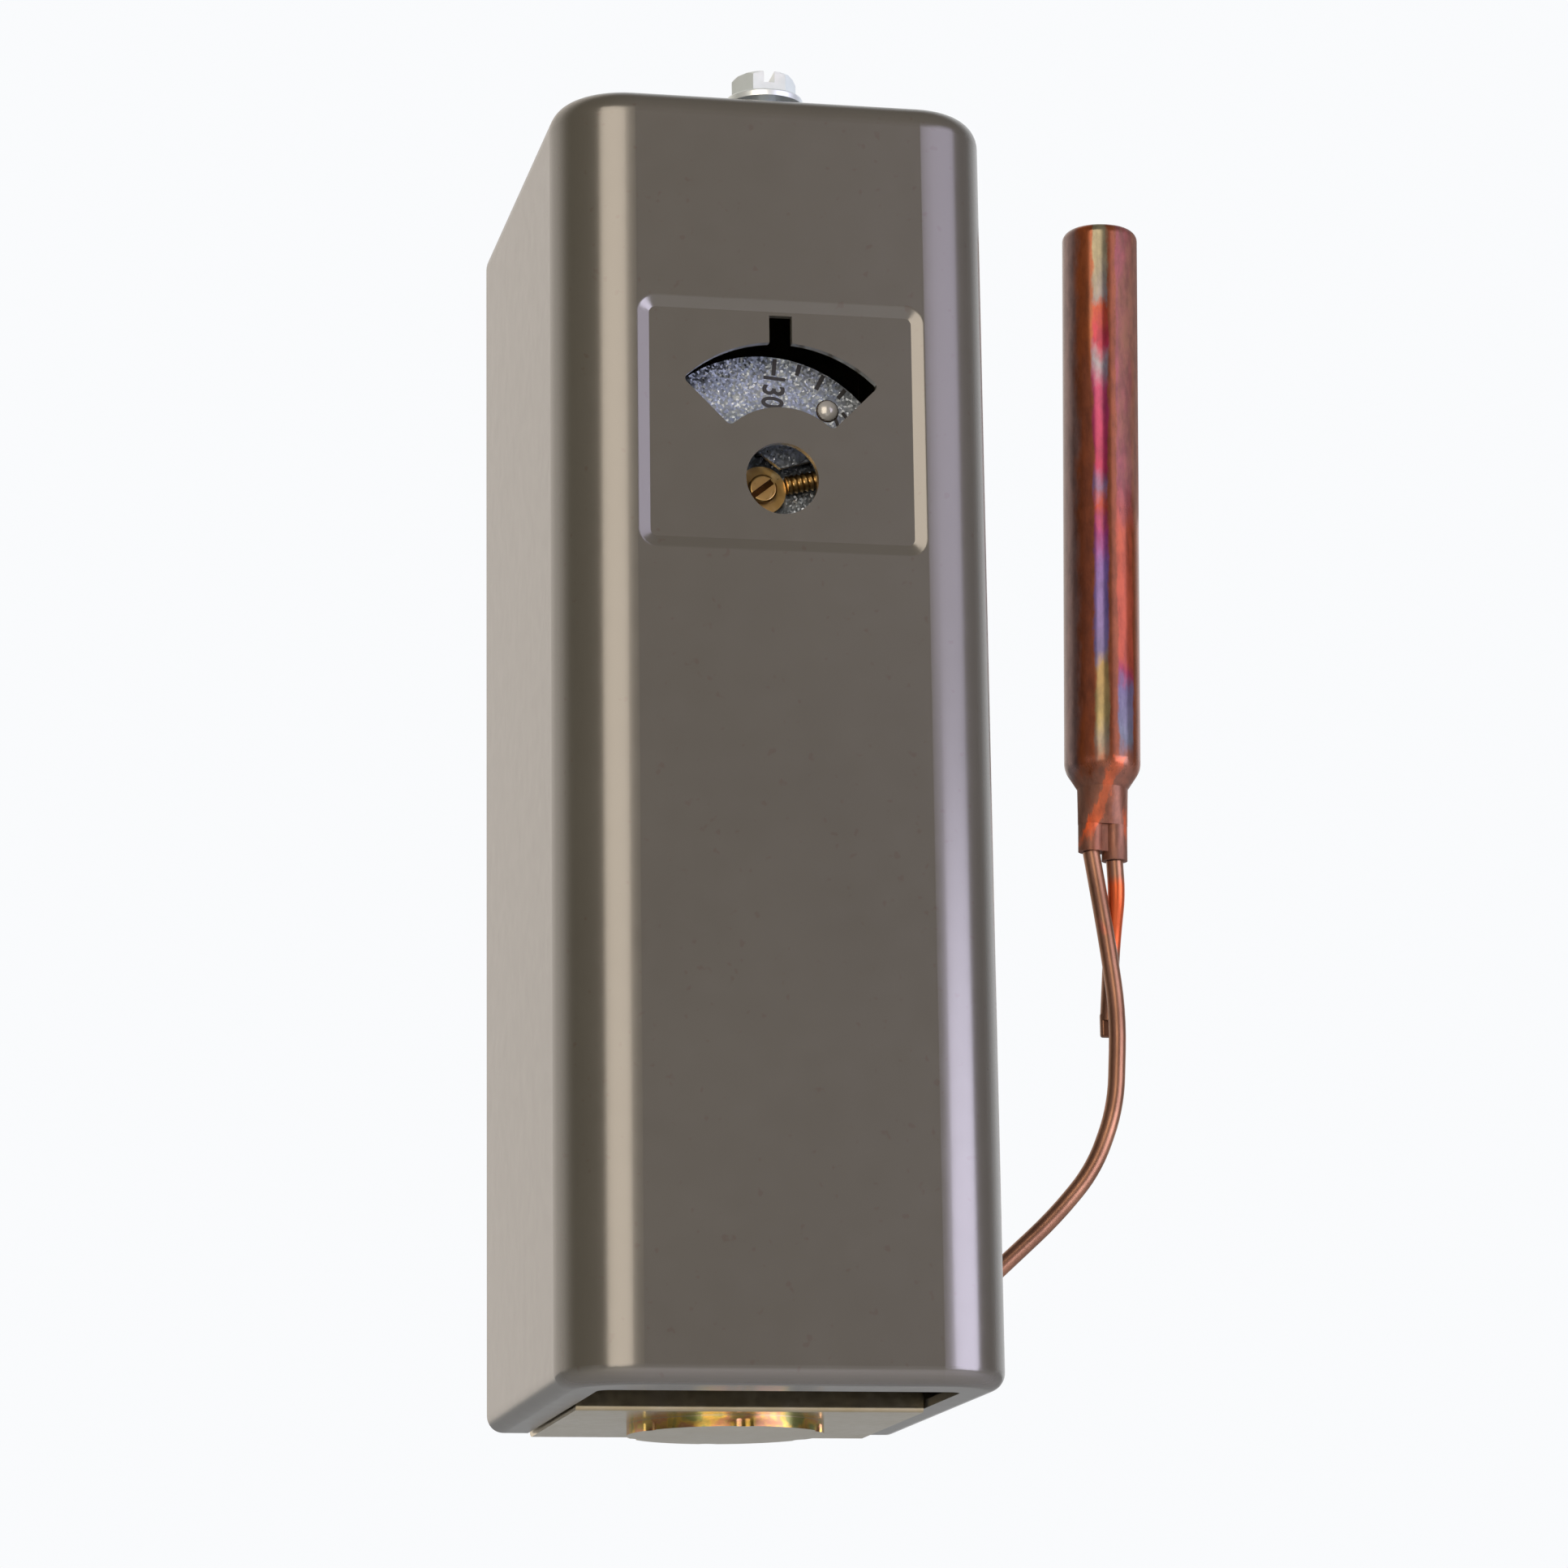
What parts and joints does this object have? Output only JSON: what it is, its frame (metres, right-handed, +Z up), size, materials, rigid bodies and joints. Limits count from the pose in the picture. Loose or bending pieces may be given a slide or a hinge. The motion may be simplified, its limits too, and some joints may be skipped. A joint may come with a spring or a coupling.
{
  "type": "aquastat",
  "caption": "Remote bulb aquastat: a narrow drawn steel case with a dial window, a conduit flange below and a copper sensing bulb on a bent capillary tube.",
  "frame": {"origin": "centre of the two wall holes, on the back face of the chassis", "axes": "+X to the right seen from the front, +Y into the wall, +Z up along the case"},
  "size_m": [0.0802, 0.0583, 0.1493],
  "materials": {
    "taupe_paint": "semi-gloss baked enamel",
    "zinc_plated": "bright zinc plate",
    "yellow_zinc": "yellow chromated zinc",
    "zinc_sheet": "zinc plated sheet",
    "spangled_zinc": "sparkling zinc sheet with black marks",
    "brass": "turned",
    "bronze": "rolled",
    "spring_steel": "drawn",
    "black_phenolic": "moulded",
    "clear_amber": "pressed fibre",
    "white_plastic": "moulded",
    "green_screw": "green dyed zinc",
    "heat_tinted_copper": "copper with heat tints"
  },
  "bodies": {
    "base": {"chassis": "yellow_zinc", "mechanism_bracket": "zinc_sheet", "bracket_screws": "zinc_plated", "shaft_bushing": "brass", "range_spring": "spring_steel", "pivot_pin": "spring_steel", "pin_clips": "spring_steel", "element_base": "brass", "element_cap": "brass", "diaphragm": "bronze", "switch_bracket": "zinc_sheet", "switch_bracket_screws": "zinc_plated", "switch_body": "black_phenolic", "switch_lid": "clear_amber", "terminals": "brass", "terminal_screws": "zinc_plated", "switch_screws": "zinc_plated", "ground_screw": "green_screw", "bulb": "heat_tinted_copper", "capillary": "heat_tinted_copper", "charge_tube": "heat_tinted_copper"},
    "cover": {"cover": "taupe_paint", "cover_nut": "zinc_plated"},
    "cover_screw": {"cover_screw": "zinc_plated"},
    "dial": {"dial": "spangled_zinc", "dial_hub": "zinc_sheet", "dial_rivets": "zinc_plated", "calibration_screw": "brass", "adjusting_screw": "brass"},
    "yoke": {"spring_yoke": "zinc_sheet"},
    "lever": {"main_lever": "zinc_sheet"},
    "push_stud": {"push_stud": "brass"},
    "plunger": {"switch_plunger": "white_plastic"}
  },
  "joints": [
    {"name": "cover_slide", "type": "slide", "parent": "base", "child": "cover", "axis": [0, -1, 0], "range_m": [0, 0.062]},
    {"name": "cover_screw_turn", "type": "hinge", "parent": "cover", "child": "cover_screw", "pos_m": [0, -0.0503, 0.0715], "axis": [0, 0, 1], "continuous": true},
    {"name": "dial_turn", "type": "hinge", "parent": "base", "child": "dial", "pos_m": [-0.0011, -0.05325, 0.02755], "axis": [0, -1, 0], "range_deg": [0, 157]},
    {"name": "yoke_travel", "type": "slide", "parent": "base", "child": "yoke", "axis": [0, -1, 0], "range_m": [0, 0.0009]},
    {"name": "lever_swing", "type": "hinge", "parent": "base", "child": "lever", "pos_m": [0, -0.02, 0], "axis": [-1, 0, 0], "range_deg": [0, 2], "stiffness_Nm_per_rad": 1.5, "springref_deg": -5.16, "deforming": ["range_spring"]},
    {"name": "stud_travel", "type": "slide", "parent": "base", "child": "push_stud", "axis": [0, -1, 0], "range_m": [0, 0.0016]},
    {"name": "plunger_travel", "type": "slide", "parent": "base", "child": "plunger", "axis": [0, -1, 0], "range_m": [0, 0.0011]}
  ],
  "couplings": [
    {"joint": "yoke_travel", "follows": "dial_turn", "m_per_rad": 0.00031831},
    {"joint": "stud_travel", "follows": "lever_swing", "m_per_rad": 0.04356},
    {"joint": "plunger_travel", "follows": "lever_swing", "m_per_rad": 0.0308}
  ]
}
